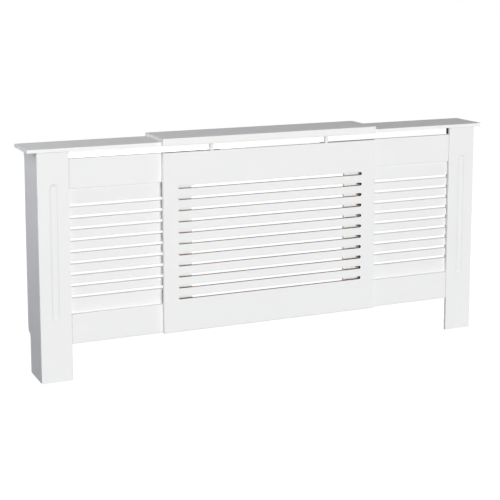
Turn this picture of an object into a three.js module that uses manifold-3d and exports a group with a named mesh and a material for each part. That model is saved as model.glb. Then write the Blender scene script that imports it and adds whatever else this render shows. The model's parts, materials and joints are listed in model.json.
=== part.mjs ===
// Extending radiator cover: a slotted centre unit that slides over a left and a right end section.
// Millimetres, +Z up. The origin is on the floor, under the middle of the cover at rest.
import * as THREE from "three";
import { mergeVertices } from "three/addons/utils/BufferGeometryUtils.js";
import Module from "manifold-3d";

const wasm = await Module();
wasm.setup();

// ---- Driving dimensions ----

const restWidth = 1722; // over the two side panels, as far apart as they stand at rest
const pillarHeight = 797; // floor to the underside of the shelves
const bodyDepth = 172; // front of the pillars to the wall
const board = 12; // every board is cut from the same sheet
const edgeEase = 1; // sanded edge of the painted boards

// Front of an end section
const pillarWidth = 110;
const railHeight = 104;
const railSetback = 1.5; // rails sit this far behind the pillar face
const legHeight = 128.5; // floor to the rails and to the centre panel
const ventGap = 25.5; // open strip between the rails and the shelves
const railReach = 199.5; // inner rail end to the middle of the cover at rest
const grilleReach = 304; // inner end of the side grille to the middle of the cover at rest
const grilleBehindPillar = 35;
const grilleBehindRail = 25;
const slotBehindPillar = 10; // outer slot ends hide behind the pillar
const stileWidth = 51; // solid inner end of the side grille
const sideSlotMargin = 48; // rail to the nearest side slot

// Routed cove on the pillar
const fluteWidth = 27;
const fluteDepth = 5;
const fluteTopMargin = 108;
const fluteBottomMargin = 218.5;

// Slots, the same row heights on the side grilles and the centre panel
const slotHeight = 11;
const slotPitch = 39.6;
const slotSideMargin = 56; // panel edge to the slot ends on the centre panel

// Side panel, cut away at the back for the skirting board
const skirtingDepth = 28;
const skirtingHeight = 110;
const ogeeRise = 62;

// Shelves of the end sections
const shelfSideOverhang = 33;
const shelfFrontOverhang = 2;
const shelfCornerRadius = 6;

// Centre unit
const centreWidth = 840;
const slideGap = 0.5; // running clearance of the centre unit on the shelves
const panelGap = 1; // running clearance of the centre panel on the rails
const fasciaRadius = 2;
const postDiameter = 13;
const postSpacing = 453;
const postOffset = -11; // the two posts stand this far off the middle
const studDiameter = 4;
const studEmbed = 10;

// Guide strips on the back of the centre panel
const guideHeight = 10;
const guideThickness = 10;
const guideEndInset = 25;
const guideClearance = 0.4;
const guideSlotGap = 1.2; // solid wood left between a guide strip and the end slots
const tongueThickness = 3;
const tongueHeight = 4;
const grooveDepth = 5;

// Battens inside an end section
const cleatHeight = 25;
const cleatWidth = 12;
const cleatRearInset = 12;
const battenSize = 18;
const battenEndInset = 45; // from the floor, and from the cleats above

// Wall bracket, bent from strip steel
const bracketLeg = 40;
const bracketStrip = 20;
const bracketGauge = 2;
const bracketBend = 2; // inside radius of the bend
const bracketDrop = 60; // shelf to the top of the bracket
const bracketHole = 5;
const bracketHoleInset = 16; // flange end to the wall screw hole
const bracketScrewInset = 12; // flange end to the nearest screw in the side panel
const bracketScrewSpacing = 13;

// Fixings
const screwDiameter = 3.5;
const screwHead = 7;
const screwHeadHeight = 2.2;
const screwPoint = 3;
const screwCover = 2.5; // board left between a screw point and the far face
const dowelDiameter = 6;
const dowelLength = 30;
const dowelInset = 22; // rail edge to the dowel nearest to it
const dowelEase = 1;
const fixingGap = 0.3; // clearance all round a fixing and at its ends
const cutOverrun = 1; // how far a through hole's cutter runs past each face
const roundSegments = 12;
const fluteSegments = 48;
const arcSegments = 4;

// ---- Heights, depths and distances that follow from them ----

const half = restWidth / 2;
const frameTop = pillarHeight - ventGap;
const openingBottom = legHeight + railHeight;
const openingTop = frameTop - railHeight;
const slotMiddle = (openingBottom + openingTop) / 2;
const shelfTop = pillarHeight + board;
const centreBoardBottom = shelfTop + slideGap;
const overallHeight = centreBoardBottom + board;
const railBack = railSetback + board;
const grilleFront = Math.max(board, railBack);
const grilleBack = grilleFront + board;
const panelBack = railSetback - panelGap;
const panelFront = panelBack - board;
const fasciaBack = -shelfFrontOverhang - slideGap;
const fasciaFront = fasciaBack - board;
const fasciaBottom = pillarHeight - slideGap;
const railMiddle = railSetback + board / 2;

// ---- Materials ----

const paint = new THREE.MeshStandardMaterial({ color: 0xf1f1ef, roughness: 0.42, metalness: 0 });
const rawBoard = new THREE.MeshStandardMaterial({ color: 0x9a7450, roughness: 0.85, metalness: 0 });
const beech = new THREE.MeshStandardMaterial({ color: 0xd9bd8f, roughness: 0.7, metalness: 0 });
const zinc = new THREE.MeshStandardMaterial({ color: 0xb4b7ba, roughness: 0.35, metalness: 1 });

// ---- Solids ----

function toSolid(geometry) {
  const flat = geometry.index ? geometry.toNonIndexed() : geometry;
  const bare = new THREE.BufferGeometry();
  bare.setAttribute("position", flat.getAttribute("position"));
  const merged = mergeVertices(bare, 1e-4);
  return new wasm.Manifold(
    new wasm.Mesh({
      numProp: 3,
      vertProperties: merged.getAttribute("position").array,
      triVerts: new Uint32Array(merged.index.array),
    }),
  );
}

function toGeometry(solid) {
  const mesh = solid.getMesh();
  const indexed = new THREE.BufferGeometry();
  indexed.setAttribute("position", new THREE.BufferAttribute(mesh.vertProperties, 3));
  indexed.setIndex(new THREE.BufferAttribute(mesh.triVerts, 1));
  const geometry = indexed.toNonIndexed();
  geometry.computeVertexNormals();
  return geometry;
}

function cut(geometry, cutters) {
  const solid = cutters.reduce((left, cutter) => left.subtract(toSolid(cutter)), toSolid(geometry));
  return toGeometry(solid);
}

// A straight-sided outline through [x, y] pairs.
function outline(points) {
  return new THREE.Shape(points.map(([x, y]) => new THREE.Vector2(x, y)));
}

function rectangle(x0, y0, x1, y1) {
  return outline([
    [x0, y0],
    [x1, y0],
    [x1, y1],
    [x0, y1],
  ]);
}

// A board of the drawn outline, with eased edges on both faces; it lies from z = 0 to thickness.
function extrude(shape, thickness, ease = 0) {
  const geometry = new THREE.ExtrudeGeometry(shape, {
    depth: thickness - 2 * ease,
    bevelEnabled: ease > 0,
    bevelThickness: ease,
    bevelSize: ease,
    bevelOffset: -ease,
    bevelSegments: 1,
    curveSegments: arcSegments,
  });
  return geometry.translate(0, 0, ease);
}

// An outline drawn as [x, z], standing upright with its front face at y.
function upright(shape, y, thickness, ease) {
  return extrude(shape, thickness, ease)
    .rotateX(Math.PI / 2)
    .translate(0, y + thickness, 0);
}

// An outline drawn as [y, z], run along x from x0 to x1.
function alongX(shape, x0, x1, ease) {
  const turn = new THREE.Matrix4().makeBasis(
    new THREE.Vector3(0, 1, 0),
    new THREE.Vector3(0, 0, 1),
    new THREE.Vector3(1, 0, 0),
  );
  return extrude(shape, x1 - x0, ease)
    .applyMatrix4(turn)
    .translate(x0, 0, 0);
}

// A turned piece along +Z from a profile of [radius, z] pairs that starts and ends on the axis.
function turned(profile, segments = roundSegments) {
  const points = profile.map(([radius, z]) => new THREE.Vector2(radius, z));
  return new THREE.LatheGeometry(points, segments).rotateX(Math.PI / 2);
}

// Turns a piece made along +Z to a direction, and puts its base at a point.
function aim(geometry, direction, point) {
  const turn = new THREE.Quaternion().setFromUnitVectors(new THREE.Vector3(0, 0, 1), direction);
  return geometry.applyQuaternion(turn).translate(point.x, point.y, point.z);
}

function part(name, geometry, material) {
  const mesh = new THREE.Mesh(geometry, material);
  mesh.name = name;
  return mesh;
}

// ---- Fixings: each is a place and a direction, from which the piece and its hole are made ----

// A countersunk screw driven from its head along a direction.
function screwProfile(length, gap) {
  const shank = screwDiameter / 2 + gap;
  const head = screwHead / 2 + gap;
  return [
    [0, -gap],
    [head, -gap],
    [head, 0],
    [shank, screwHeadHeight + gap],
    [shank, length - screwPoint + gap],
    [0, length + gap],
  ];
}

function screw(point, direction, length) {
  return {
    solid: () => aim(turned(screwProfile(length, 0)), direction, point),
    hole: () => aim(turned(screwProfile(length, fixingGap)), direction, point),
  };
}

// A plain wooden dowel along x, centred on a point.
function dowel(point) {
  const radius = dowelDiameter / 2;
  const profile = [
    [0, 0],
    [radius - dowelEase, 0],
    [radius, dowelEase],
    [radius, dowelLength - dowelEase],
    [radius - dowelEase, dowelLength],
    [0, dowelLength],
  ];
  const bore = rod(radius + fixingGap, dowelLength + 2 * fixingGap);
  const start = point.clone().setX(point.x - dowelLength / 2);
  const boreStart = start.clone().setX(start.x - fixingGap);
  const along = new THREE.Vector3(1, 0, 0);
  return {
    solid: () => aim(turned(profile), along, start),
    hole: () => aim(bore.clone(), along, boreStart),
  };
}

// The cutters of one fixing or of several, given singly or in lists.
function holes(...groups) {
  return groups.flat().map((fixing) => fixing.hole());
}

// A plain round rod along +Z from z = 0.
function rod(radius, length) {
  return turned([
    [0, 0],
    [radius, 0],
    [radius, length],
    [0, length],
  ]);
}

const inward = new THREE.Vector3(-1, 0, 0);
const forward = new THREE.Vector3(0, -1, 0);
const upward = new THREE.Vector3(0, 0, 1);

// ---- Slotted boards ----

// Heights of the slots whose edges stay a margin away from the rails.
function slotRows(margin) {
  const reach = (openingTop - openingBottom - slotHeight) / 2 - margin;
  const each = Math.max(0, Math.floor(reach / slotPitch));
  return Array.from({ length: 2 * each + 1 }, (_, i) => slotMiddle + (i - each) * slotPitch);
}

// A slot with round ends between x0 and x1.
function slot(x0, x1, z) {
  const radius = slotHeight / 2;
  const path = new THREE.Path();
  path.moveTo(x0 + radius, z - radius);
  path.absarc(x0 + radius, z, radius, -Math.PI / 2, Math.PI / 2, true);
  path.absarc(x1 - radius, z, radius, Math.PI / 2, -Math.PI / 2, true);
  return path;
}

function slottedBoard(x0, z0, x1, z1, y, slotStart, slotEnd, rows) {
  const shape = rectangle(x0, z0, x1, z1);
  shape.holes = rows.map((z) => slot(slotStart, slotEnd, z));
  return upright(shape, y, board, edgeEase);
}

// ---- End section, drawn as the left one: x = 0 is the outer face of its side panel ----

const railStart = pillarWidth;
const railEnd = half - railReach;
const grilleStart = pillarWidth - grilleBehindPillar;
const grilleEnd = half - grilleReach;
const grilleBottom = openingBottom - grilleBehindRail;
const grilleTop = openingTop + grilleBehindRail;

// A pillar with a cove that a round-nosed cutter of the matching radius leaves, stopped at both ends.
function frontPillar(cutters) {
  const radius = fluteWidth ** 2 / (8 * fluteDepth) + fluteDepth / 2;
  const low = fluteBottomMargin + fluteWidth / 2;
  const high = pillarHeight - fluteTopMargin - fluteWidth / 2;
  const blank = upright(rectangle(0, 0, pillarWidth, pillarHeight), 0, board, edgeEase);
  const profile = new THREE.Path();
  profile.moveTo(0, low - radius);
  profile.absarc(0, low, radius, -Math.PI / 2, 0, false);
  profile.absarc(0, high, radius, 0, Math.PI / 2, false);
  const points = profile.getPoints(fluteSegments / 4).map((p) => [Math.max(p.x, 0), p.y]);
  points[0][0] = 0;
  points[points.length - 1][0] = 0;
  const cove = turned(points, fluteSegments).translate(pillarWidth / 2, fluteDepth - radius, 0);
  return cut(blank, [cove, ...cutters]);
}

// A rail butting on the pillar's edge. The upper one is grooved underneath for the centre unit's guide.
function rail(bottom, grooved, cutters) {
  const top = bottom + railHeight;
  const grooveHalf = tongueThickness / 2 + guideClearance;
  const groove = [
    [railMiddle - grooveHalf, bottom],
    [railMiddle - grooveHalf, bottom + grooveDepth],
    [railMiddle + grooveHalf, bottom + grooveDepth],
    [railMiddle + grooveHalf, bottom],
  ];
  const profile = outline([
    [railSetback, top - edgeEase],
    [railSetback, bottom + edgeEase],
    [railSetback + edgeEase, bottom],
    ...(grooved ? groove : []),
    [railBack, bottom],
    [railBack, top],
    [railSetback + edgeEase, top],
  ]);
  return cut(alongX(profile, railStart, railEnd, 0), cutters);
}

// A side panel standing behind the pillar, cut away at the lower back with an ogee over the skirting.
function sidePanel(cutters) {
  const back = bodyDepth;
  const cutBack = bodyDepth - skirtingDepth;
  const ogeeTop = skirtingHeight + ogeeRise;
  const ogeeMiddle = (skirtingHeight + ogeeTop) / 2;
  const midBack = (back + cutBack) / 2;
  const shape = new THREE.Shape();
  shape.moveTo(board, 0);
  shape.lineTo(cutBack, 0);
  shape.lineTo(cutBack, skirtingHeight);
  shape.quadraticCurveTo(cutBack, ogeeMiddle, midBack, ogeeMiddle);
  shape.quadraticCurveTo(back, ogeeMiddle, back, ogeeTop);
  shape.lineTo(back, pillarHeight);
  shape.lineTo(board, pillarHeight);
  return cut(alongX(shape, 0, board, edgeEase), cutters);
}

// A shelf with rounded outer corners, over the pillar, the side panel and the rails.
function shelf(cutters) {
  const left = -shelfSideOverhang;
  const front = -shelfFrontOverhang;
  const radius = shelfCornerRadius;
  const shape = new THREE.Shape();
  shape.moveTo(left + radius, front);
  shape.lineTo(railEnd, front);
  shape.lineTo(railEnd, bodyDepth);
  shape.lineTo(left, bodyDepth);
  shape.lineTo(left, front + radius);
  shape.absarc(left + radius, front + radius, radius, Math.PI, 1.5 * Math.PI, false);
  return cut(extrude(shape, board, edgeEase).translate(0, 0, pillarHeight), cutters);
}

// A bracket of two flanges with a round bend, one on the side panel and one on the wall.
function wallBracket(cutters) {
  const outer = bracketBend + bracketGauge;
  const x = board;
  const y = bodyDepth;
  const shape = new THREE.Shape();
  shape.moveTo(x, y - bracketLeg);
  shape.lineTo(x + bracketGauge, y - bracketLeg);
  shape.lineTo(x + bracketGauge, y - outer);
  shape.absarc(x + outer, y - outer, bracketBend, Math.PI, Math.PI / 2, true);
  shape.lineTo(x + bracketLeg, y - bracketGauge);
  shape.lineTo(x + bracketLeg, y);
  shape.lineTo(x + outer, y);
  shape.absarc(x + outer, y - outer, outer, Math.PI / 2, Math.PI, false);
  const bottom = pillarHeight - bracketDrop - bracketStrip;
  return cut(extrude(shape, bracketStrip).translate(0, 0, bottom), cutters);
}

function endSection(side) {
  const section = new THREE.Group();
  const add = (name, geometry, material) => section.add(part(`${side}_${name}`, geometry, material));
  const addAll = (name, fixings, material) =>
    fixings.forEach((fixing, i) => add(`${name}_${i + 1}`, fixing.solid(), material));

  const upperRailBottom = frameTop - railHeight;
  const dowelRow = (bottom) =>
    [bottom + dowelInset, bottom + railHeight - dowelInset].map((z) =>
      dowel(new THREE.Vector3(railStart, (board + railSetback) / 2, z)),
    );
  const upperDowels = dowelRow(upperRailBottom);
  const lowerDowels = dowelRow(legHeight);

  const grilleScrewLength = 2 * board - screwCover;
  const screwInset = grilleBehindRail / 2;
  const grilleScrewAt = (x, z) =>
    screw(new THREE.Vector3(x, grilleBack, z), forward, grilleScrewLength);
  const railScrewXs = [(railStart + grilleEnd) / 2, grilleEnd - stileWidth / 2];
  const upperScrews = railScrewXs.map((x) => grilleScrewAt(x, openingTop + screwInset));
  const lowerScrews = railScrewXs.map((x) => grilleScrewAt(x, openingBottom - screwInset));
  const pillarScrewX = grilleStart + (grilleBehindPillar - slotBehindPillar) / 2;
  const pillarScrew = grilleScrewAt(pillarScrewX, slotMiddle);

  const cleatBottom = pillarHeight - cleatHeight;
  const sideCleatFront = board + cleatWidth;
  const sideCleatBack = bodyDepth - cleatRearInset;
  const cleatScrewLength = cleatHeight + board - screwCover;
  const cleatScrews = [
    new THREE.Vector3(board + (pillarWidth - board) / 2, board + cleatWidth / 2, cleatBottom),
    new THREE.Vector3(board + cleatWidth / 2, (sideCleatFront + sideCleatBack) / 2, cleatBottom),
  ].map((point) => screw(point, upward, cleatScrewLength));

  const battenTop = cleatBottom - battenEndInset;
  const battenInside = board + battenSize;

  const bracketMiddle = pillarHeight - bracketDrop - bracketStrip / 2;
  const bracketScrewY = bodyDepth - bracketLeg + bracketScrewInset;
  const bracketScrews = [bracketScrewY, bracketScrewY + bracketScrewSpacing].map((y) =>
    screw(
      new THREE.Vector3(board + bracketGauge, y, bracketMiddle),
      inward,
      board + bracketGauge - screwCover,
    ),
  );
  const wallHolePoint = new THREE.Vector3(
    board + bracketLeg - bracketHoleInset,
    bodyDepth + cutOverrun,
    bracketMiddle,
  );
  const wallHole = aim(
    rod(bracketHole / 2, bracketGauge + 2 * cutOverrun),
    forward,
    wallHolePoint,
  );

  add("side_panel", sidePanel(holes(bracketScrews)), paint);
  add("front_pillar", frontPillar(holes(upperDowels, lowerDowels, pillarScrew)), paint);
  add("upper_rail", rail(upperRailBottom, true, holes(upperDowels, upperScrews)), paint);
  add("lower_rail", rail(legHeight, false, holes(lowerDowels, lowerScrews)), paint);
  const sideGrille = slottedBoard(
    grilleStart,
    grilleBottom,
    grilleEnd,
    grilleTop,
    grilleFront,
    pillarWidth - slotBehindPillar,
    grilleEnd - stileWidth,
    slotRows(sideSlotMargin),
  );
  add("grille_panel", cut(sideGrille, holes(upperScrews, lowerScrews, pillarScrew)), paint);
  add("shelf", shelf(holes(cleatScrews)), paint);

  const frontCleat = upright(rectangle(board, cleatBottom, pillarWidth, pillarHeight), board, cleatWidth);
  const sideCleat = alongX(
    rectangle(sideCleatFront, cleatBottom, sideCleatBack, pillarHeight),
    board,
    board + cleatWidth,
  );
  const cornerBatten = extrude(
    rectangle(board, board, battenInside, battenInside),
    battenTop - battenEndInset,
  ).translate(0, 0, battenEndInset);
  add("front_cleat", cut(frontCleat, holes(cleatScrews)), rawBoard);
  add("side_cleat", cut(sideCleat, holes(cleatScrews)), rawBoard);
  add("corner_batten", cornerBatten, rawBoard);
  add("wall_bracket", wallBracket([...holes(bracketScrews), wallHole]), zinc);

  addAll("upper_rail_dowel", upperDowels, beech);
  addAll("lower_rail_dowel", lowerDowels, beech);
  addAll("upper_grille_screw", upperScrews, zinc);
  addAll("lower_grille_screw", lowerScrews, zinc);
  add("pillar_grille_screw", pillarScrew.solid(), zinc);
  addAll("cleat_screw", cleatScrews, zinc);
  addAll("bracket_screw", bracketScrews, zinc);
  return section;
}

// ---- Centre unit: x = 0 is its middle ----

// A strip behind the centre panel that keeps it level on the rails; the upper one has a tongue.
function guideStrip(bottom, tongued, cutters) {
  const back = panelBack + guideThickness;
  const top = bottom + guideHeight;
  const tongue = [
    [railMiddle + tongueThickness / 2, top],
    [railMiddle + tongueThickness / 2, top + tongueHeight],
    [railMiddle - tongueThickness / 2, top + tongueHeight],
    [railMiddle - tongueThickness / 2, top],
  ];
  const profile = outline([
    [panelBack, bottom],
    [back, bottom],
    [back, top],
    ...(tongued ? tongue : []),
    [panelBack, top],
  ]);
  const reach = centreWidth / 2 - guideEndInset;
  return cut(alongX(profile, -reach, reach, 0), cutters);
}

// The top board's front strip, with rounded front edges.
function fascia(cutters) {
  const shape = new THREE.Shape();
  shape.moveTo(fasciaBack, fasciaBottom);
  shape.lineTo(fasciaBack, overallHeight);
  shape.lineTo(fasciaFront + fasciaRadius, overallHeight);
  shape.absarc(
    fasciaFront + fasciaRadius,
    overallHeight - fasciaRadius,
    fasciaRadius,
    Math.PI / 2,
    Math.PI,
    false,
  );
  shape.absarc(
    fasciaFront + fasciaRadius,
    fasciaBottom + fasciaRadius,
    fasciaRadius,
    Math.PI,
    1.5 * Math.PI,
    false,
  );
  return cut(alongX(shape, -centreWidth / 2, centreWidth / 2, 0), cutters);
}

// A turned spacer between the centre panel and the fascia, bored for its stud.
function post(bore) {
  const height = fasciaBottom - frameTop;
  return cut(rod(postDiameter / 2, height).translate(0, 0, frameTop), [bore]);
}

function centreUnit() {
  const unit = new THREE.Group();
  const add = (name, geometry, material) => unit.add(part(`centre_${name}`, geometry, material));

  const upperGuideBottom = openingTop - guideClearance - guideHeight;
  const lowerGuideBottom = openingBottom + guideClearance;
  const guideScrewLength = guideThickness + board - screwCover;
  const guideScrewX = centreWidth / 4;
  const guideScrews = (bottom) =>
    [-guideScrewX, guideScrewX].map((x) =>
      screw(
        new THREE.Vector3(x, panelBack + guideThickness, bottom + guideHeight / 2),
        forward,
        guideScrewLength,
      ),
    );
  const upperScrews = guideScrews(upperGuideBottom);
  const lowerScrews = guideScrews(lowerGuideBottom);

  // The posts stand half way between the planes of the panel and the fascia.
  const postY = (panelFront + panelBack + fasciaFront + fasciaBack) / 4;
  const postXs = [postOffset - postSpacing / 2, postOffset + postSpacing / 2];
  const studBottom = frameTop - studEmbed;
  const studLength = fasciaBottom + studEmbed - studBottom;
  const studs = postXs.map((x) => ({
    x,
    solid: () => rod(studDiameter / 2, studLength).translate(x, postY, studBottom),
    hole: () =>
      rod(studDiameter / 2 + fixingGap, studLength + 2 * fixingGap).translate(
        x,
        postY,
        studBottom - fixingGap,
      ),
  }));

  const halfWidth = centreWidth / 2;
  const rows = slotRows(guideHeight + guideClearance + guideSlotGap);
  const slotReach = halfWidth - slotSideMargin;
  const panel = slottedBoard(
    -halfWidth,
    legHeight,
    halfWidth,
    frameTop,
    panelFront,
    -slotReach,
    slotReach,
    rows,
  );
  add("front_panel", cut(panel, holes(upperScrews, lowerScrews, studs)), paint);
  const topBoard = rectangle(-halfWidth, fasciaBack, halfWidth, bodyDepth);
  add("top_board", extrude(topBoard, board).translate(0, 0, centreBoardBottom), paint);
  add("top_fascia", fascia(holes(studs)), paint);
  add("upper_guide", guideStrip(upperGuideBottom, true, holes(upperScrews)), rawBoard);
  add("lower_guide", guideStrip(lowerGuideBottom, false, holes(lowerScrews)), rawBoard);
  ["left", "right"].forEach((side, i) => {
    const x = studs[i].x;
    const bore = rod(studDiameter / 2 + fixingGap, studLength).translate(0, 0, studBottom);
    add(`post_${side}`, post(bore).translate(x, postY, 0), paint);
    add(`post_stud_${side}`, studs[i].solid(), zinc);
    add(`upper_guide_screw_${side}`, upperScrews[i].solid(), zinc);
    add(`lower_guide_screw_${side}`, lowerScrews[i].solid(), zinc);
  });
  return unit;
}

// ---- Assembly ----

const group = new THREE.Group();
group.name = "radiator_cover";
group.position.y = -(fasciaFront + bodyDepth) / 2;

const left = endSection("left");
left.position.x = -half;

const right = endSection("right");
right.position.x = half;
right.scale.x = -1;

group.add(centreUnit(), left, right);

export default group;
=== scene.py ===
import json
import math

import bpy
from mathutils import Matrix, Vector
from mathutils.geometry import tessellate_polygon


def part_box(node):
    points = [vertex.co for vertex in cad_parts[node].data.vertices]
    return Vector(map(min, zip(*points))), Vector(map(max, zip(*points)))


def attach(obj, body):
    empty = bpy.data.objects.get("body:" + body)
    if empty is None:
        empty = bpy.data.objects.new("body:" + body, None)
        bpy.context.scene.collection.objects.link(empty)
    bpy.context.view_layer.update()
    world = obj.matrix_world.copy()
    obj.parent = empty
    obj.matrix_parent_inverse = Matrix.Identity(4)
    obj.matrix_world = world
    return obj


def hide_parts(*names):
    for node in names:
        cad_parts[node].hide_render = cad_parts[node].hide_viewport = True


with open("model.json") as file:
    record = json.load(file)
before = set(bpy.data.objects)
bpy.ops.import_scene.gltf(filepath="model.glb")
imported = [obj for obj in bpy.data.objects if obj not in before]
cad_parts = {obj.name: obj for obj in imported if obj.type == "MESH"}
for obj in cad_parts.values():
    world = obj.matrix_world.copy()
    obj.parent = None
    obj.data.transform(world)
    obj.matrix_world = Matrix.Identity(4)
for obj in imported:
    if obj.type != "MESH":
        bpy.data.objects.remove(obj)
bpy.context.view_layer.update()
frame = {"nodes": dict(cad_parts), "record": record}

MM = 0.001

# ---- Sizes of the boards that the boxes of the frame don't say ----

EDGE = 1.0 * MM  # eased edge of the painted boards
CORNER = 1.2 * MM  # eased corner where two board edges meet
RAIL_EDGE = 3.0 * MM  # rounder lower front edge of the rails
SEAM_EDGE = 3.0 * MM  # the V where a rail butts on a pillar: a rounded shoulder on each
HEAD_FADE = 2.0 * MM  # how far the painted shade on a pillar's head fades out below its corners
TOP_PAINTED_SHADE = 2.8  # painted shade on the top edges under the shelves, against 1 in a joint
PANEL_EDGE = 1.5 * MM  # eased edge of the centre panel
EDGE_STEPS = 4  # faces round each eased edge
CORNER_STEPS = 4  # faces round each eased corner
SLOT_HEIGHT = 11 * MM
SLOT_PITCH = 39.6 * MM
CENTRE_SLOT_MARGIN = 56 * MM  # panel edge to the slot ends
SIDE_SLOT_INSET = 25 * MM  # outer edge of a side grille to its slots
SIDE_STILE = 51 * MM  # inner edge of a side grille to its slots
CENTRE_SLOTS = 11
SIDE_SLOTS = 9
SLOT_STEPS = 14  # points round each slot end
FLUTE_WIDTH = 27 * MM
FLUTE_DEPTH = 5 * MM
FLUTE_LOW = 218.5 * MM  # floor to the foot of the cove
FLUTE_TOP_MARGIN = 108 * MM  # pillar top to the head of the cove
FLUTE_RIM = 2.2 * MM  # paint-softened rim of the cove
FLUTE_RIM_STEPS = 5
FLUTE_STEPS = 12
SKIRTING_DEPTH = 28 * MM
SKIRTING_HEIGHT = 110 * MM
OGEE_RISE = 62 * MM
OGEE_STEPS = 12
SHELF_CORNER = 6 * MM
SHELF_CORNER_STEPS = 8
FASCIA_CORNER = 2 * MM
FASCIA_CORNER_STEPS = 6
GROOVE_DEPTH = 5 * MM
GROOVE_WIDTH = 3.8 * MM
GROOVE_EASE = 0.3 * MM
POST_CHAMFER = 0.6 * MM
POST_SEGMENTS = 48
SCREW_HEAD = 7 * MM
SCREW_HEAD_HEIGHT = 2.2 * MM
SCREW_SHANK = 3.5 * MM
SCREW_POINT = 3 * MM
SCREW_CORE = 2.4 * MM  # thickness between the threads
SCREW_PITCH = 1.8 * MM
SCREW_PITCH_STEPS = 8
SCREW_RECESS = 4 * MM  # across the cross recess
SCREW_RECESS_DEPTH = 1.5 * MM
SCREW_RIM = 0.25 * MM  # chamfer round the head
SCREW_TIP = 0.05 * MM  # radius that the point ends in
SCREW_SEGMENTS = 32
SCREW_CREASE = 40  # degrees between faces from which a screw's shading breaks
SCREW_GAP = 0.3 * MM
RAW_EDGE = 0.4 * MM  # arris knocked off the unpainted strips and the steel
RAW_EDGE_STEPS = 2  # faces round it on the pieces that keep their CAD solid
RAW_EDGE_FROM = 50  # degrees between faces from which an edge counts as an arris
WELD_REACH = 0.01 * MM  # points of a CAD solid nearer than this are one
STILE_BATTEN_WIDTH = 44 * MM
STILE_BATTEN_START = 32 * MM  # inner edge of a side grille to the batten behind it
PAINTED_SHADE_REACH = 4 * MM  # how far into the cove the painted shade along its edge line fades off

# How far the faces of a board that look along u, v and w show a cut edge, whose lighter coat is partly a
# painted highlight, and how far they show a scorched one, darkened partly as painted shade.
NONE = (0, 0, 0)
CUT_AND_HIGHLIGHT = (0.5, 0.5, 0)
CUT_AND_HIGHLIGHT_ENDS = (1, 0.5, 0)
CUT_AND_HIGHLIGHT_STRIP = (0.25, 0.5, 1)
BURNT_AND_SHADED_U = (1, 0, 0)
BURNT_AND_SHADED_V = (0, 1, 0)

# ---- Camera, fitted to the straight edges of the photograph ----

CAMERA_PLACE = (-1.9252, -4.2057, 1.4284)
CAMERA_TURN = 24.030  # degrees to the right of straight on
CAMERA_DROP = 8.395  # degrees below level
CAMERA_LENS = 92.24
CAMERA_SENSOR = 36.0
CAMERA_SHIFT = -0.2

# ---- Meshes ----


class Shape:
    """A mesh under construction, with a normal for each face corner and marks that its materials read.

    edge is 1 on the middle of a rounding, rim on a cut board edge, whose creamier coat is also a painted
    highlight on shaded end faces and slot walls, burn where a saw or cutter scorched bare board and where
    painted shade darkens the far slot ends and sawn ends, and the fourth mark is painted shade along the
    edge line of a cove, in the V of a joint and on edges under a shelf."""

    MARKS = ("edge", "rim", "burn", "dust")

    def __init__(self):
        self.points = []
        self.marks = {name: [] for name in self.MARKS}
        self.faces = []
        self.normals = []
        self.finish = []

    def ring(self, points, **marks):
        start = len(self.points)
        self.points += [Vector(p) for p in points]
        for name, values in self.marks.items():
            given = marks.get(name, 0.0)
            values += given if isinstance(given, list) else [given] * len(points)
        return list(range(start, len(self.points)))

    def face(self, corners, normals, finish=0):
        self.faces.append(corners)
        self.normals.append([Vector(n) for n in normals])
        self.finish.append(finish)

    def strip(self, low, high, low_normals, high_normals, finish=0):
        count = len(low)
        for i in range(count):
            j = (i + 1) % count
            corners = [low[i], low[j], high[j], high[i]]
            normals = [low_normals[i], low_normals[j], high_normals[j], high_normals[i]]
            self.face(corners, normals, finish)

    def fill(self, loops, normal, finish=0):
        """A flat face with holes: the first loop is its outline."""
        normal = Vector(normal)
        flat = [i for loop in loops for i in loop]
        outline = [[self.points[i] for i in loop] for loop in loops]
        for triple in tessellate_polygon(outline):
            a, b, c = (flat[i] for i in triple)
            turn = (self.points[b] - self.points[a]).cross(self.points[c] - self.points[a])
            corners = [a, b, c] if turn.dot(normal) > 0 else [a, c, b]
            self.face(corners, [normal] * 3, finish)

    def moved(self, matrix):
        """A copy under a matrix, turned right side out again if the matrix mirrors."""
        made = Shape()
        made.points = [matrix @ p for p in self.points]
        made.marks = {name: list(values) for name, values in self.marks.items()}
        made.finish = list(self.finish)
        turn = matrix.to_3x3()
        mirrors = turn.determinant() < 0
        for corners, normals in zip(self.faces, self.normals):
            order = slice(None, None, -1) if mirrors else slice(None)
            made.faces.append(list(corners)[order])
            made.normals.append([turn @ n for n in normals][order])
        return made

    def to_object(self, name, finishes, crease=None):
        """The Blender object. With a crease angle, its faces set its shading, and not its normals."""
        mesh = bpy.data.meshes.new(name)
        mesh.from_pydata(self.points, [], self.faces)
        for finish in finishes:
            mesh.materials.append(finish)
        mesh.polygons.foreach_set("material_index", self.finish)
        for label, values in self.marks.items():
            mesh.attributes.new(label, "FLOAT", "POINT").data.foreach_set("value", values)
        mesh.shade_smooth()
        if crease:
            mesh.set_sharp_from_angle(angle=crease)
        else:
            mesh.normals_split_custom_set([n.normalized() for corner in self.normals for n in corner])
        made = bpy.data.objects.new(name, mesh)
        bpy.context.scene.collection.objects.link(made)
        return made


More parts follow.
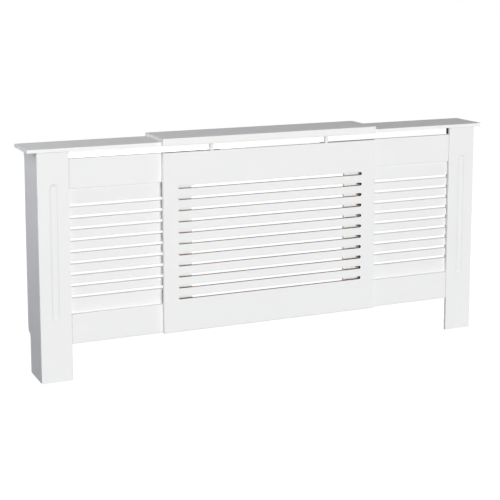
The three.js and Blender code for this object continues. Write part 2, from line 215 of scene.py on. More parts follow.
def rounded(corners, radii, steps=CORNER_STEPS):
    """Points, outward normals and nearness to a corner's middle, round an outline.

    The corners run with the inside of the outline on their left."""
    points, normals, bends = [], [], []
    count = len(corners)
    for i in range(count):
        before, here, after = (Vector(corners[(i + k) % count]) for k in (-1, 0, 1))
        d1 = (here - before).normalized()
        d2 = (after - here).normalized()
        n1 = Vector((d1.y, -d1.x))
        n2 = Vector((d2.y, -d2.x))
        turn = math.atan2(d1.x * d2.y - d1.y * d2.x, d1.dot(d2))
        radius = radii[i]
        if not radius:
            points.append(here)
            normals.append((n1 + n2).normalized())
            bends.append(0.0)
            continue
        side = math.copysign(1, turn)
        reach = radius * math.tan(abs(turn) / 2)
        centre = here - d1 * reach - side * radius * n1
        for k in range(steps + 1):
            n = Matrix.Rotation(turn * k / steps, 2) @ n1
            points.append(centre + side * radius * n)
            normals.append(n)
            bends.append(math.sin(math.pi * k / steps))
    return points, normals, bends


def stadium(x0, x1, z, radius, steps=SLOT_STEPS):
    """The same as rounded gives, round a lying hole with round ends, with the board on the left."""
    points, normals = [], []
    for centre, start in ((x0, -0.5), (x1, 0.5)):
        for k in range(steps + 1):
            angle = math.pi * (start - k / steps)
            n = Vector((math.cos(angle), math.sin(angle)))
            points.append(Vector((centre, z)) + radius * n)
            normals.append(-n)
    return points, normals, [0.0] * len(points)


def slab(
    outline,
    holes,
    thickness,
    ease,
    place,
    hole_finish=0,
    openings=(),
    sockets=(),
    cut_and_highlight=CUT_AND_HIGHLIGHT,
    scorch_and_shade=NONE,
    painted_shading=lambda point, angle: 0.0,
):
    """A board lying on the outline's plane, w from 0 to thickness, with round-eased edges.

    ease is one radius, or a list of them for the outline's points. place takes (u, v, w) to the row
    frame. openings are loops left open in the face at w = thickness, and sockets are places of
    countersunk holes in the face at w = 0. The cut-edge amounts say how far what faces u, v and w
    counts as a cut board edge, whose creamier coat is also a painted highlight, and the scorching
    amounts say how far it is scorched and darkened as painted shade. The last argument gives the
    painted shade at a point of the outline, where its edge has turned by an angle."""

    def facing(amounts, tilts):
        """The amounts for u, v and w, each as far as a normal looks along its axis."""
        return [sum(amount * abs(n) for amount, n in zip(amounts, tilt)) for tilt in tilts]

    shape = Shape()
    rounds = [(-math.pi / 2 * (1 - k / EDGE_STEPS), 0) for k in range(EDGE_STEPS + 1)]
    rounds += [(math.pi / 2 * k / EDGE_STEPS, 1) for k in range(EDGE_STEPS + 1)]
    bottoms, tops = [], []
    for number, (points, normals, bends) in enumerate([outline, *holes]):
        rings = []
        eases = ease if isinstance(ease, list) else [ease] * len(points)
        for angle, at_top in rounds:
            tilt = [(*(math.cos(angle) * n), math.sin(angle)) for n in normals]
            flat = []
            for p, n, radius in zip(points, normals, eases):
                height = thickness - radius if at_top else radius
                inset = radius * (1 - math.cos(angle))
                flat.append((*(p - inset * n), height + radius * math.sin(angle)))
            # Scorching, darkened also as painted shade: on the round ends of a hole and on the chosen
            # faces of a board.
            burn = [abs(n.x) for n in normals] if number else facing(scorch_and_shade, tilt)
            edge = [max(abs(math.sin(2 * angle)), math.cos(angle) * bend) for bend in bends]
            # The creamier cut-edge coat, also a painted highlight: full on the straight wall of a hole,
            # and on the chosen faces of a board.
            rim = math.cos(angle) if number else facing(cut_and_highlight, tilt)
            # Painted shade along the outline's edges, as much as the given function asks for.
            dust = 0.0 if number else [painted_shading(p, angle) for p in points]
            rings.append((shape.ring(flat, edge=edge, burn=burn, rim=rim, dust=dust), tilt))
        for k, ((low, low_n), (high, high_n)) in enumerate(zip(rings, rings[1:])):
            # The straight wall of a hole, with the steepest face of each rounding beside it.
            raw = number > 0 and abs(k - EDGE_STEPS) <= 1
            shape.strip(low, high, low_n, high_n, hole_finish if raw else 0)
        bottoms.append(rings[0][0])
        tops.append(rings[-1][0])
    opened = [shape.ring([(*p, thickness) for p in points]) for points in openings]
    bottoms += [socket(shape, u, v) for u, v in sockets]
    shape.fill(bottoms, (0, 0, -1))
    shape.fill([tops[0], *tops[1:], *opened], (0, 0, 1))
    return shape.moved(place), opened


def circle(segments):
    return [2 * math.pi * k / segments for k in range(segments)]


def socket(shape, u, v):
    """Adds a countersunk blind hole into a board from w = 0, and gives its mouth's loop."""
    head = SCREW_HEAD / 2 + SCREW_GAP
    shank = SCREW_SHANK / 2 + SCREW_GAP
    depth = 2 * SCREW_HEAD_HEIGHT
    inward = [(-math.cos(a), -math.sin(a)) for a in circle(SCREW_SEGMENTS)]
    cone = math.atan2(head - shank, SCREW_HEAD_HEIGHT)
    rings = []
    for radius, height, tilt in ((head, 0, cone), (shank, SCREW_HEAD_HEIGHT, cone), (shank, depth, 0)):
        points = [(u - radius * x, v - radius * y, height) for x, y in inward]
        normals = [(x * math.cos(tilt), y * math.cos(tilt), -math.sin(tilt)) for x, y in inward]
        rings.append((shape.ring(points), normals))
    for (near, near_n), (far, far_n) in zip(rings, rings[1:]):
        shape.strip(near[::-1], far[::-1], near_n[::-1], far_n[::-1])
    shape.fill([rings[-1][0]], (0, 0, -1))
    return rings[0][0]


def axes(u, v, w, origin):
    """The matrix that takes (u, v, w) to origin + u, v and w along three directions."""
    turn = Matrix((u, v, w)).transposed().to_4x4()
    return Matrix.Translation(origin) @ turn


def upright(back):
    """u along X, v up, and w from the back face at y = back towards the room."""
    return axes((1, 0, 0), (0, 0, 1), (0, -1, 0), (0, back, 0))


def lying(bottom):
    """u along X, v along Y, and w up from z = bottom."""
    return axes((1, 0, 0), (0, 1, 0), (0, 0, 1), (0, 0, bottom))


def along_x(start):
    """u along Y, v up, and w along X from x = start."""
    return axes((0, 1, 0), (0, 0, 1), (1, 0, 0), (start, 0, 0))


def rectangle(u0, v0, u1, v1):
    return [(u0, v0), (u1, v0), (u1, v1), (u0, v1)]


# ---- Procedural materials ----


def material(name):
    """A material, its Principled shader, a function that adds a node, and one that links two sockets.

    The node's inputs are given by name, or as i and a number where their names aren't their own."""
    made = bpy.data.materials.new(name)
    made.use_nodes = True
    tree = made.node_tree
    shader = tree.nodes["Principled BSDF"]

    def node(kind, settings=None, **inputs):
        added = tree.nodes.new(kind)
        for key, value in (settings or {}).items():
            setattr(added, key, value)
        for key, value in inputs.items():
            numbered = key[0] == "i" and key[1:].isdigit()
            entry = added.inputs[int(key[1:])] if numbered else added.inputs[key]
            if isinstance(value, bpy.types.NodeSocket):
                tree.links.new(value, entry)
            else:
                entry.default_value = value
        return added

    return made, shader, node, tree.links.new


def noise(node, where, scale, detail, roughness=0.5):
    made = node("ShaderNodeTexNoise", Vector=where, Scale=scale, Detail=detail, Roughness=roughness)
    return made.outputs["Fac"]


def remap(node, value, given, wanted):
    """Stretches a range of values onto another, and keeps to its ends."""
    made = node("ShaderNodeMapRange", i0=value, i1=given[0], i2=given[1], i3=wanted[0], i4=wanted[1])
    return made.outputs[0]


def blend(node, amount, first, second):
    made = node("ShaderNodeMix", {"data_type": "RGBA"}, i0=amount, i6=first, i7=second)
    return made.outputs[2]


def times(node, first, second):
    return node("ShaderNodeMath", {"operation": "MULTIPLY"}, i0=first, i1=second).outputs[0]


def plus(node, first, second):
    return node("ShaderNodeMath", {"operation": "ADD"}, i0=first, i1=second).outputs[0]


def mark(node, name):
    """One of the marks that a Shape carries."""
    return node("ShaderNodeAttribute", {"attribute_name": name}).outputs["Fac"]


def squeezed(node, where, scale):
    """Places in which a pattern runs long along an axis whose scale is small."""
    made = node("ShaderNodeMapping", Vector=where)
    made.inputs["Scale"].default_value = scale
    return made.outputs[0]


def relief(node, link, shader, height, strength, depth):
    bump = node("ShaderNodeBump", Strength=strength, Distance=depth, Height=height)
    link(bump.outputs["Normal"], shader.inputs["Normal"])


def satin_paint():
    """Sprayed satin white: faint cloudiness and fine orange peel.

    Its marks add a creamier coat on cut edges, which is also a painted highlight on shaded end faces and
    slot walls, wear on the corners, and painted shade along coves, in joints and on edges under the
    shelves."""
    thin_coat = (0.840, 0.844, 0.850, 1)
    full_coat = (0.858, 0.860, 0.862, 1)
    # The creamier coat of cut edges, lighter than the face also as a painted highlight.
    thin_cut_and_highlight = (0.940, 0.940, 0.915, 1)
    full_cut_and_highlight = (0.958, 0.958, 0.932, 1)
    rubbed = (0.80, 0.79, 0.765, 1)
    # Painted shade: the grey laid along coves, in joints and on edges under the shelves.
    painted_shade_grey = (0.42, 0.43, 0.44, 1)
    grit_share = 0.35
    made, shader, node, link = material("satin_white_paint")
    where = node("ShaderNodeTexCoord").outputs["Object"]
    clouds = noise(node, where, scale=3.5, detail=3.0)
    mottle = noise(node, where, scale=60.0, detail=3.0)
    peel = noise(node, where, scale=420.0, detail=2.0)
    grit = noise(node, where, scale=1800.0, detail=2.0)
    face = blend(node, remap(node, clouds, (0.3, 0.7), (0, 1)), thin_coat, full_coat)
    cut = blend(node, remap(node, mottle, (0.3, 0.7), (0, 1)), thin_cut_and_highlight, full_cut_and_highlight)
    # Cut edges and slot walls take the lighter coat, partly a painted highlight.
    base = blend(node, mark(node, "rim"), face, cut)
    worn = times(node, mark(node, "edge"), remap(node, mottle, (0.35, 0.65), (0.1, 0.4)))
    used = blend(node, worn, base, rubbed)
    # Painted shade, a little uneven, where the mark asks for it.
    painted_shading = times(node, mark(node, "dust"), remap(node, mottle, (0.3, 0.7), (0.21, 0.32)))
    link(blend(node, painted_shading, used, painted_shade_grey), shader.inputs["Base Color"])
    link(remap(node, mottle, (0.25, 0.75), (0.50, 0.62)), shader.inputs["Roughness"])
    shader.inputs["Specular IOR Level"].default_value = 0.2
    height = plus(node, peel, times(node, grit, grit_share))
    relief(node, link, shader, height, strength=0.35, depth=0.06 * MM)
    return made


def raw_fibreboard():
    """Cut fibreboard: fine brown fibres, darker clumps, and scorched patches where a cutter turned,
    darkened to near black also as painted shade at the far slot ends and on sawn ends.
    """
    dark_fibre = (0.27, 0.155, 0.09, 1)
    pale_fibre = (0.52, 0.345, 0.225, 1)
    clump = (0.33, 0.205, 0.125, 1)
    # Near black: scorching, and painted shade in the far slot ends and on sawn ends.
    burnt_and_shaded = (0.035, 0.02, 0.013, 1)
    made, shader, node, link = material("raw_fibreboard")
    where = node("ShaderNodeTexCoord").outputs["Object"]
    along = squeezed(node, where, (0.35, 1.0, 1.0))
    fibres = noise(node, along, scale=1500.0, detail=5.0, roughness=0.65)
    clumps = noise(node, where, scale=220.0, detail=3.0)
    base = blend(node, remap(node, fibres, (0.3, 0.7), (0, 1)), dark_fibre, pale_fibre)
    tone = blend(node, remap(node, clumps, (0.4, 0.7), (0, 0.5)), base, clump)
    # Scorching and painted shade, where the mark asks for it.
    scorch_and_shade = times(node, mark(node, "burn"), remap(node, clumps, (0.2, 0.6), (0.7, 0.95)))
    link(blend(node, scorch_and_shade, tone, burnt_and_shaded), shader.inputs["Base Color"])
    link(remap(node, fibres, (0.3, 0.7), (0.82, 0.97)), shader.inputs["Roughness"])
    shader.inputs["Specular IOR Level"].default_value = 0.2
    relief(node, link, shader, fibres, strength=0.6, depth=0.15 * MM)
    return made


def bare_beech():
    """Pale beech with short flecks along the dowel."""
    dark_grain = (0.50, 0.32, 0.17, 1)
    pale_grain = (0.66, 0.47, 0.28, 1)
    fleck = (0.30, 0.17, 0.08, 1)
    made, shader, node, link = material("bare_beech")
    where = node("ShaderNodeTexCoord").outputs["Object"]
    along = squeezed(node, where, (0.12, 1.0, 1.0))
    grain = noise(node, along, scale=900.0, detail=4.0, roughness=0.6)
    flecks = noise(node, along, scale=2600.0, detail=2.0)
    base = blend(node, remap(node, grain, (0.35, 0.65), (0, 1)), dark_grain, pale_grain)
    dark = remap(node, flecks, (0.6, 0.7), (0, 0.6))
    link(blend(node, dark, base, fleck), shader.inputs["Base Color"])
    link(remap(node, grain, (0.3, 0.7), (0.6, 0.75)), shader.inputs["Roughness"])
    relief(node, link, shader, grain, strength=0.4, depth=0.1 * MM)
    return made


def zinc_plate():
    """Bright zinc plating with a cloudy passivation and fine rolling marks."""
    blue_zinc = (0.58, 0.60, 0.63, 1)
    yellow_zinc = (0.68, 0.67, 0.62, 1)
    made, shader, node, link = material("zinc_plate")
    where = node("ShaderNodeTexCoord").outputs["Object"]
    clouds = noise(node, where, scale=120.0, detail=3.0)
    marks = noise(node, squeezed(node, where, (1.0, 1.0, 0.06)), scale=2400.0, detail=3.0)
    base = blend(node, remap(node, clouds, (0.35, 0.65), (0, 1)), blue_zinc, yellow_zinc)
    link(base, shader.inputs["Base Color"])
    shader.inputs["Metallic"].default_value = 1.0
    link(remap(node, marks, (0.3, 0.7), (0.26, 0.42)), shader.inputs["Roughness"])
    relief(node, link, shader, marks, strength=0.3, depth=0.03 * MM)
    return made


PAINT = satin_paint()
RAW = raw_fibreboard()
BEECH = bare_beech()
ZINC = zinc_plate()
FINISHES = {"painted_board": PAINT, "raw_board": RAW, "dowel_wood": BEECH, "zinc_steel": ZINC}
BODY_OF = {n: b for b, names in frame["record"]["behaviour"]["bodies"].items() for n in names}
SLOT_OF = {part["node"]: part["material_slot"] for part in frame["record"]["subparts"]}
MIRROR = Matrix.Scale(-1, 4, (1, 0, 0))


# ---- Boards ----


def dress(node, shape, finishes):
    """Stands the finished shape in for a CAD node, on the node's body, with the finishes given."""
    piece = shape.to_object(node + "_finished", finishes)
    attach(piece, BODY_OF[node])
    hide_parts(node)


def dress_both(name, shape, finishes):
    """The left section's piece, and its mirror image on the right section."""
    dress("left_" + name, shape, finishes)
    dress("right_" + name, shape.moved(MIRROR), finishes)


def slot_rows(count, middle):
    """Heights of the rows of slots."""
    return [middle + (i - (count - 1) / 2) * SLOT_PITCH for i in range(count)]


def screw_places(*nodes):
    """The middles, along the board, of screws that go through it towards the room."""
    middles = [sum(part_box(node), Vector()) / 2 for node in nodes]
    return [(m.x, m.z) for m in middles]


def slotted(node, first, last, count, ease, hole_finish, sockets=()):
    """A board with rows of slots from x = first to last, in the box of its CAD node.

    hole_finish is the number of the finish on the slots' walls."""
    low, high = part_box(node)
    radius = SLOT_HEIGHT / 2
    outline = rounded(rectangle(low.x, low.z, high.x, high.z), [CORNER] * 4)
    rows = slot_rows(count, (low.z + high.z) / 2)
    holes = [stadium(first + radius, last - radius, z, radius) for z in rows]
    crown = high.z - CORNER / 4

    def painted_shading(point, angle):
        """Painted shade on the top edge, under the shelf."""
        return TOP_PAINTED_SHADE * math.cos(angle) ** 2 if point[1] > crown else 0.0

    return slab(
        outline,
        holes,
        high.y - low.y,
        ease,
        upright(high.y),
        hole_finish,
        sockets=sockets,
        cut_and_highlight=CUT_AND_HIGHLIGHT_ENDS,
        painted_shading=painted_shading,
    )[0]


def centre_panel():
    low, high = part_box("centre_front_panel")
    shape = slotted(
        "centre_front_panel",
        low.x + CENTRE_SLOT_MARGIN,
        high.x - CENTRE_SLOT_MARGIN,
        CENTRE_SLOTS,
        ease=PANEL_EDGE,
        hole_finish=1,
    )
    dress("centre_front_panel", shape, [PAINT, RAW])


def side_grilles():
    low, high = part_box("left_grille_panel")
    shape = slotted(
        "left_grille_panel",
        low.x + SIDE_SLOT_INSET,
        high.x - SIDE_STILE,
        SIDE_SLOTS,
        # The slot walls are painted, and lightened by the cut-edge coat as a painted highlight.
        ease=EDGE,
        hole_finish=0,
        sockets=screw_places(
            "left_upper_grille_screw_1",
            "left_upper_grille_screw_2",
            "left_lower_grille_screw_1",
            "left_lower_grille_screw_2",
            "left_pillar_grille_screw",
        ),
    )
    dress_both("grille_panel", shape, [PAINT])


def stile_battens():
    """Bare strips up the back of the side grilles, behind the inner ends of their slots."""
    low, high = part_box("left_grille_panel")
    thickness = high.y - low.y
    end = high.x - STILE_BATTEN_START
    outline = rounded(rectangle(end - STILE_BATTEN_WIDTH, low.z, end, high.z), [RAW_EDGE] * 4)
    shape = slab(outline, [], thickness, RAW_EDGE, upright(high.y + thickness), scorch_and_shade=BURNT_AND_SHADED_V)[0]
    for side, made in (("left", shape), ("right", shape.moved(MIRROR))):
        piece = made.to_object(side + "_stile_batten", [RAW])
        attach(piece, BODY_OF[side + "_grille_panel"])


def cleats():
    """Bare strips under the shelves, sawn to length and countersunk from below for their screws."""
    # Their sawn ends are scorched, and darkened also as painted shade.
    kinds = (("front_cleat", "cleat_screw_1", BURNT_AND_SHADED_U), ("side_cleat", "cleat_screw_2", BURNT_AND_SHADED_V))
    for name, fixing, scorch_and_shade in kinds:
        low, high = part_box("left_" + name)
        middle = sum(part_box("left_" + fixing), Vector()) / 2
        outline = rounded(rectangle(low.x, low.y, high.x, high.y), [RAW_EDGE] * 4)
        shape = slab(
            outline,
            [],
            high.z - low.z,
            RAW_EDGE,
            lying(low.z),
            sockets=[(middle.x, middle.y)],
            scorch_and_shade=scorch_and_shade,
        )[0]
        dress_both(name, shape, [RAW])


def cove_rings():
    """The cove's section from its rim inwards.

    Each row is (distance from the axis, depth, tilt of the normal towards the axis, painted shade)."""
    radius = FLUTE_WIDTH**2 / (8 * FLUTE_DEPTH) + FLUTE_DEPTH / 2
    lift = radius - FLUTE_DEPTH
    rim = math.sqrt((radius + FLUTE_RIM) ** 2 - (lift + FLUTE_RIM) ** 2)
    steepest = math.asin(rim / (radius + FLUTE_RIM))
    rings = []
    for k in range(FLUTE_RIM_STEPS + 1):
        share = k / FLUTE_RIM_STEPS
        tilt = steepest * share
        reach = rim - FLUTE_RIM * math.sin(tilt)
        # Across the rim the painted shade grows from none to full.
        rings.append((reach, FLUTE_RIM * (1 - math.cos(tilt)), tilt, share))
    # The last half step is the narrow flat that closes the cove along its axis.
    for k in range(1, FLUTE_STEPS + 1):
        tilt = steepest * (1 - k / (FLUTE_STEPS + 0.5))
        reach = radius * math.sin(tilt)
        # Inside the rim the painted shade fades off.
        dust = max(0.0, 1 - (rim - reach) / PAINTED_SHADE_REACH)
        rings.append((reach, radius * math.cos(tilt) - lift, tilt, dust))
    return rings


def pillars():
    low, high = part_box("left_front_pillar")
    middle = (low.x + high.x) / 2
    foot = FLUTE_LOW + FLUTE_WIDTH / 2
    head = high.z - FLUTE_TOP_MARGIN - FLUTE_WIDTH / 2
    rings = cove_rings()

    def cove_loop(radius):
        """A standing stadium: the lying one with its axes swapped, read backwards to keep its turn."""
        points, normals, _ = stadium(foot, head, middle, radius)
        return [[Vector((p.y, p.x)) for p in reversed(row)] for row in (points, normals)]

    inner_line = high.x - CORNER / 2
    head_line = high.z - CORNER / 2
    neck = high.z - CORNER - HEAD_FADE
    inner = [(high.x, low.z), (high.x, neck), (high.x, high.z)]
    outer = [(low.x, high.z), (low.x, neck), (low.x, low.z)]
    outline = rounded([*inner, *outer], [CORNER, 0, CORNER, CORNER, 0, CORNER])
    eases = [SEAM_EDGE if p[0] >= inner_line or p[1] >= head_line else EDGE for p in outline[0]]

    def painted_shading(point, angle):
        """Painted shade in the joint where the pillar meets the shelf."""
        return math.cos(angle) if point[1] >= head_line else 0.0

    thickness = high.y - low.y
    place = upright(high.y)
    rim_points, rim_normals = cove_loop(rings[0][0])
    shape, opened = slab(
        outline,
        [],
        thickness,
        eases,
        place,
        openings=[rim_points],
        # The inner walls take the creamier cut-edge coat, which also lightens them as a painted highlight.
        cut_and_highlight=CUT_AND_HIGHLIGHT_ENDS,
        painted_shading=painted_shading,
    )
    turn = place.to_3x3()

    def tilted(normals, tilt):
        return [turn @ Vector((*(math.sin(tilt) * n), math.cos(tilt))) for n in normals]

    before = opened[0]
    before_normals = tilted(rim_normals, rings[0][2])
    for radius, depth, tilt, dust in rings[1:]:
        points, normals = cove_loop(radius)
        # Each ring of the cove carries its painted shade.
        ring = shape.ring([place @ Vector((*p, thickness - depth)) for p in points], dust=dust)
        ring_normals = tilted(normals, tilt)
        shape.strip(ring, before, ring_normals, before_normals)
        before = ring
        before_normals = ring_normals
    shape.fill([before], turn @ Vector((0, 0, 1)))
    dress_both("front_pillar", shape, [PAINT])


def rails():
    for name, grooved, top_painted_shade in (("upper_rail", True, TOP_PAINTED_SHADE), ("lower_rail", False, 0.0)):
        low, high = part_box("left_" + name)
        middle = (low.y + high.y) / 2
        half = GROOVE_WIDTH / 2
        corners = [(low.y, low.z), (high.y, low.z), (high.y, high.z), (low.y, high.z)]
        radii = [RAIL_EDGE, EDGE, EDGE, EDGE]
        if grooved:
            groove = [(middle - half, low.z), (middle - half, low.z + GROOVE_DEPTH)]
            groove += [(middle + half, low.z + GROOVE_DEPTH), (middle + half, low.z)]
            corners[1:1] = groove
            radii[1:1] = [GROOVE_EASE] * 4
        profile = rounded(corners, radii)
        eases = [SEAM_EDGE if point[0] <= low.y + EDGE else EDGE / 2 for point in profile[0]]
        crown = high.z - EDGE / 4

        def painted_shading(point, angle, middle=middle, crown=crown, top_painted_shade=top_painted_shade):
            """Painted shade on the top edge, and in the V where the rail butts on a pillar."""
            if point[1] > crown:
                return top_painted_shade
            return abs(math.sin(angle)) if point[0] < middle else 0.0

        shape = slab(
            profile,
            [],
            high.x - low.x,
            eases,
            along_x(low.x),
            cut_and_highlight=NONE,
            painted_shading=painted_shading,
        )[0]
        dress_both(name, shape, [PAINT])


def ogee(high):
    """The cut-out over the skirting: an S of two curves, from the foot of the cut up to the back edge."""
    cut = high.y - SKIRTING_DEPTH
    foot = Vector((cut, SKIRTING_HEIGHT))
    head = Vector((high.y, SKIRTING_HEIGHT + OGEE_RISE))
    halfway = (foot + head) / 2
    points = []
    for start, bend, end in (
        (foot, Vector((cut, halfway.y)), halfway),
        (halfway, Vector((high.y, halfway.y)), head),
    ):
        for k in range(OGEE_STEPS):
            t = k / OGEE_STEPS
            points.append((1 - t) ** 2 * start + 2 * t * (1 - t) * bend + t**2 * end)
    return [*points, head]


def side_panels():
    low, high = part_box("left_side_panel")
    curve = ogee(high)
    foot = [(low.y, low.z), (high.y - SKIRTING_DEPTH, low.z)]
    corners = [*foot, *curve, (high.y, high.z), (low.y, high.z)]
    radii = [CORNER, CORNER, *[0] * len(curve), CORNER, CORNER]
    shape = slab(rounded(corners, radii), [], high.x - low.x, EDGE, along_x(low.x))[0]
    dress_both("side_panel", shape, [PAINT])


def shelves():
    low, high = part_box("left_shelf")
    corners = rectangle(low.x, low.y, high.x, high.y)
    outline = rounded(corners, [SHELF_CORNER, CORNER, CORNER, CORNER], SHELF_CORNER_STEPS)
    # The shelf's ends take the creamier cut-edge coat, which also lightens them as a painted highlight.
    shape = slab(outline, [], high.z - low.z, EDGE, lying(low.z), cut_and_highlight=CUT_AND_HIGHLIGHT_ENDS)[0]
    dress_both("shelf", shape, [PAINT])


def centre_top():
    low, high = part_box("centre_top_board")
    outline = rounded(rectangle(low.x, low.y, high.x, high.y), [EDGE / 2] * 4)
    # The board's ends take the creamier cut-edge coat, which also lightens them as a painted highlight.
    board = slab(outline, [], high.z - low.z, EDGE / 2, lying(low.z), cut_and_highlight=CUT_AND_HIGHLIGHT_ENDS)[0]
    dress("centre_top_board", board, [PAINT])
    low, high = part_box("centre_top_fascia")
    corners = rectangle(low.y, low.z, high.y, high.z)
    radii = [FASCIA_CORNER, EDGE / 2, EDGE / 2, FASCIA_CORNER]
    outline = rounded(corners, radii, FASCIA_CORNER_STEPS)
    strip = slab(outline, [], high.x - low.x, EDGE / 2, along_x(low.x), cut_and_highlight=CUT_AND_HIGHLIGHT_STRIP)[0]
    dress("centre_top_fascia", strip, [PAINT])


def turned(profile):
    """A closed turned shape along +w from (radius, height, tilt) rows, tilt being the normal's climb."""
    shape = Shape()
    around = circle(POST_SEGMENTS)
    rings = []
    for radius, height, tilt in profile:
        points = [(radius * math.cos(a), radius * math.sin(a), height) for a in around]
        flat = math.cos(tilt)
        normals = [(flat * math.cos(a), flat * math.sin(a), math.sin(tilt)) for a in around]
        rings.append((shape.ring(points), normals))
    for (low, low_n), (high, high_n) in zip(rings, rings[1:]):
        shape.strip(low, high, low_n, high_n)
    shape.fill([rings[0][0]], (0, 0, -1))
    shape.fill([rings[-1][0]], (0, 0, 1))
    return shape


def post_profile(radius, height):
    """Rows for turned: a post with a small round arris at each end."""
    rows = []
    for start, level in ((-math.pi / 2, POST_CHAMFER), (0, height - POST_CHAMFER)):
        for k in range(EDGE_STEPS + 1):
            tilt = start + math.pi / 2 * k / EDGE_STEPS
            inset = POST_CHAMFER * (1 - math.cos(tilt))
            rows.append((radius - inset, level + POST_CHAMFER * math.sin(tilt), tilt))
    return rows


def posts():
    for side in ("left", "right"):
        node = "centre_post_" + side
        low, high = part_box(node)
        profile = post_profile((high.x - low.x) / 2, high.z - low.z)
        centre = (low + high) / 2
        shape = turned(profile).moved(Matrix.Translation((centre.x, centre.y, low.z)))
        dress(node, shape, [PAINT])


def screw(length):
    """A countersunk wood screw along +w from its head, with a cross recess and a thread to its point."""
    shape = Shape()
    around = circle(SCREW_SEGMENTS)
    head = SCREW_HEAD / 2
    shank = SCREW_SHANK / 2
    core = SCREW_CORE / 2

    def loop(height, reach):
        return shape.ring([(reach(a) * math.cos(a), reach(a) * math.sin(a), height) for a in around])

    def cross(share):
        """Four arms: wide along the axes, narrow between them."""
        narrow = 0.42
        across = SCREW_RECESS * share
        return lambda a: across / 2 * (narrow + (1 - narrow) * abs(math.cos(2 * a)) ** 3)

    thread_start = SCREW_HEAD_HEIGHT + (length - SCREW_HEAD_HEIGHT) / 4
    rings = [
        loop(SCREW_RECESS_DEPTH, cross(0.25)),
        loop(SCREW_RECESS_DEPTH * 0.75, cross(0.6)),
        loop(0, cross(1)),
        loop(0, lambda a: head - SCREW_RIM),
        loop(SCREW_RIM, lambda a: head),
        loop(SCREW_HEAD_HEIGHT, lambda a: shank),
        loop(thread_start, lambda a: shank),
    ]
    step = SCREW_PITCH / SCREW_PITCH_STEPS
    height = thread_start + step
    while height < length - step:
        taper = min(1.0, (length - height) / SCREW_POINT)
        phase = height / SCREW_PITCH

        def flank(a, taper=taper, phase=phase):
            """The thread's crest stands out over the middle half of each turn."""
            turn = (phase - a / (2 * math.pi)) % 1.0
            return taper * (core + (shank - core) * max(0.0, 1 - abs(turn - 0.5) * 4))

        rings.append(loop(height, flank))
        height += step
    rings.append(loop(length, lambda a: SCREW_TIP))
    # The crease angle sets a screw's shading, so these normals only fill their places.
    upward = [(0, 0, 1)] * SCREW_SEGMENTS
    for low, high in zip(rings, rings[1:]):
        shape.strip(low, high, upward, upward)
    shape.fill([rings[0]], (0, 0, -1))
    shape.fill([rings[-1]], (0, 0, 1))
    return shape


def screw_place(name):
    """Where a screw goes in from its head, and its length.

    It goes up through a cleat, out through a bracket, or towards the room."""
    low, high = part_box(name)
    middle = (low + high) / 2
    if "cleat" in name:
        return lying(low.z) @ Matrix.Translation((middle.x, middle.y, 0)), high.z - low.z
    if "left_bracket" in name:
        return axes((0, 0, 1), (0, 1, 0), (-1, 0, 0), (high.x, middle.y, middle.z)), high.x - low.x
    if "right_bracket" in name:
        return along_x(low.x) @ Matrix.Translation((middle.y, middle.z, 0)), high.x - low.x
    return upright(high.y) @ Matrix.Translation((middle.x, middle.z, 0)), high.y - low.y


def screws():
    for name in SLOT_OF:
        if "screw" not in name:
            continue
        place, length = screw_place(name)
        shape = screw(length).moved(place)
        piece = shape.to_object(name + "_finished", [ZINC], crease=math.radians(SCREW_CREASE))
        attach(piece, BODY_OF[name])
        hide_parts(name)


def refinish_rest():
    """CAD nodes that stay get the finish of their material slot, and lose their sharp arrises."""
    for name, node in frame["nodes"].items():
        if node.hide_render:
            continue
        for slot in node.material_slots:
            slot.material = FINISHES[SLOT_OF[name]]
        weld = node.modifiers.new("weld", "WELD")
        weld.merge_threshold = WELD_REACH
        bevel = node.modifiers.new("bevel", "BEVEL")
        bevel.width = RAW_EDGE
        bevel.segments = RAW_EDGE_STEPS
        bevel.limit_method = "ANGLE"
        bevel.angle_limit = math.radians(RAW_EDGE_FROM)
        bevel.harden_normals = True


# ---- Studio ----


def seen_directly(tree):
    """1 for what the camera, a reflection or a clear surface looks at, and 0 for light on things."""
    path = tree.nodes.new("ShaderNodeLightPath")
    seen = path.outputs["Is Camera Ray"]
    for ray in ("Is Glossy Ray", "Is Transmission Ray"):
        either = tree.nodes.new("ShaderNodeMath")
        either.operation = "MAXIMUM"
        tree.links.new(seen, either.inputs[0])
        tree.links.new(path.outputs[ray], either.inputs[1])
        seen = either.outputs[0]
    return seen


def studio_floor():
    """Plain white to the eye, with the object's shadow, and cool grey to the light it throws back."""
    reach = 12.0
    drop = 0.3 * MM
    bounce = (0.34, 0.375, 0.43, 1)
    shaded = (0.15, 0.15, 0.15, 1)
    own_light = 0.975
    mesh = bpy.data.meshes.new("studio_floor")
    corners = rectangle(-reach, -reach, reach, reach)
    mesh.from_pydata([(x, y, -drop) for x, y in corners], [], [(0, 1, 2, 3)])
    floor = bpy.data.objects.new("studio_floor", mesh)
    bpy.context.scene.collection.objects.link(floor)
    made = bpy.data.materials.new("studio_floor")
    made.use_nodes = True
    tree = made.node_tree
    tree.nodes.clear()
    thrown = tree.nodes.new("ShaderNodeBsdfDiffuse")
    thrown.inputs["Color"].default_value = bounce
    faint = tree.nodes.new("ShaderNodeBsdfDiffuse")
    faint.inputs["Color"].default_value = shaded
    glow = tree.nodes.new("ShaderNodeEmission")
    glow.inputs["Strength"].default_value = own_light
    lit = tree.nodes.new("ShaderNodeAddShader")
    tree.links.new(faint.outputs[0], lit.inputs[0])
    tree.links.new(glow.outputs[0], lit.inputs[1])
    choose = tree.nodes.new("ShaderNodeMixShader")
    tree.links.new(seen_directly(tree), choose.inputs[0])
    tree.links.new(thrown.outputs[0], choose.inputs[1])
    tree.links.new(lit.outputs[0], choose.inputs[2])
    out = tree.nodes.new("ShaderNodeOutputMaterial")
    tree.links.new(choose.outputs[0], out.inputs["Surface"])
    mesh.materials.append(made)


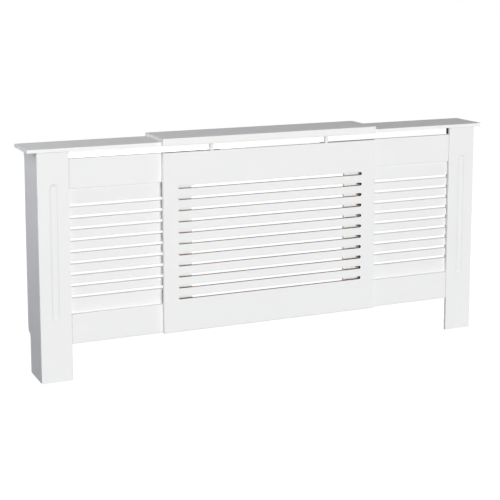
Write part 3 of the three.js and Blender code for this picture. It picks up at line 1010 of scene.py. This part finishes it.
def studio_world():
    """White to the eye, and dim, faintly cool sky light on things."""
    white = (1, 1, 1, 1)
    sky = (0.167, 0.170, 0.180, 1)
    world = bpy.data.worlds.new("studio")
    world.use_nodes = True
    tree = world.node_tree
    background = tree.nodes["Background"]
    shade = tree.nodes.new("ShaderNodeMix")
    shade.data_type = "RGBA"
    shade.inputs[6].default_value = sky
    shade.inputs[7].default_value = white
    tree.links.new(seen_directly(tree), shade.inputs[0])
    tree.links.new(shade.outputs[2], background.inputs["Color"])
    background.inputs["Strength"].default_value = 1.0
    bpy.context.scene.world = world


def softbox(name, place, target, size, watts, spread=180, tint=(1, 1, 1)):
    """A lamp of size (width, height) that the camera doesn't see, aimed at its target."""
    light = bpy.data.lights.new(name + "_softbox", "AREA")
    light.color = tint
    light.shape = "RECTANGLE"
    light.size, light.size_y = size
    light.energy = watts
    light.spread = math.radians(spread)
    lamp = bpy.data.objects.new(name + "_softbox", light)
    lamp.location = place
    lamp.rotation_euler = (Vector(target) - Vector(place)).to_track_quat("-Z", "Y").to_euler()
    lamp.visible_camera = False
    bpy.context.scene.collection.objects.link(lamp)


def studio_lamps():
    """A far key and fill on the front, an overhead lamp for the tops, and lamps for the sides and back."""
    middle = (0.0, 0.0, 0.40)
    warm = (1.0, 0.98, 0.945)
    softbox("key", (-0.8, -12.0, 1.6), middle, (5.0, 3.0), watts=917, tint=warm)
    softbox("fill", (1.8, -12.0, 1.6), middle, (2.0, 3.0), watts=235)
    softbox("overhead", (-0.8, -0.5, 5.0), (-0.3, 0.0, 0.80), (4.0, 3.0), watts=28)
    softbox("left", (-2.0, 0.0, 1.9), (-0.9, 0.0, 0.70), (0.8, 0.8), watts=4)
    softbox("left_top", (-2.4, -0.2, 1.25), (-0.88, 0.0, 0.80), (0.8, 0.8), watts=1.6, spread=80)
    softbox("right", (2.6, 0.2, 0.45), (0.88, 0.0, 0.40), (1.4, 0.7), watts=20)
    softbox("back", (0.4, 5.0, 0.42), middle, (3.0, 0.7), watts=110)


def camera():
    """Its shift is less than the photograph's, which would push the object out of other views."""
    lens = bpy.data.cameras.new("camera")
    lens.lens = CAMERA_LENS
    lens.sensor_width = CAMERA_SENSOR
    lens.shift_y = CAMERA_SHIFT
    made = bpy.data.objects.new("camera", lens)
    made.location = CAMERA_PLACE
    made.rotation_euler = (math.radians(90 - CAMERA_DROP), 0, math.radians(-CAMERA_TURN))
    bpy.context.scene.collection.objects.link(made)
    bpy.context.scene.camera = made


centre_panel()
side_grilles()
stile_battens()
cleats()
pillars()
rails()
side_panels()
shelves()
centre_top()
posts()
screws()
refinish_rest()

studio_floor()
studio_world()
studio_lamps()
camera()
bpy.context.scene.view_settings.view_transform = "Standard"
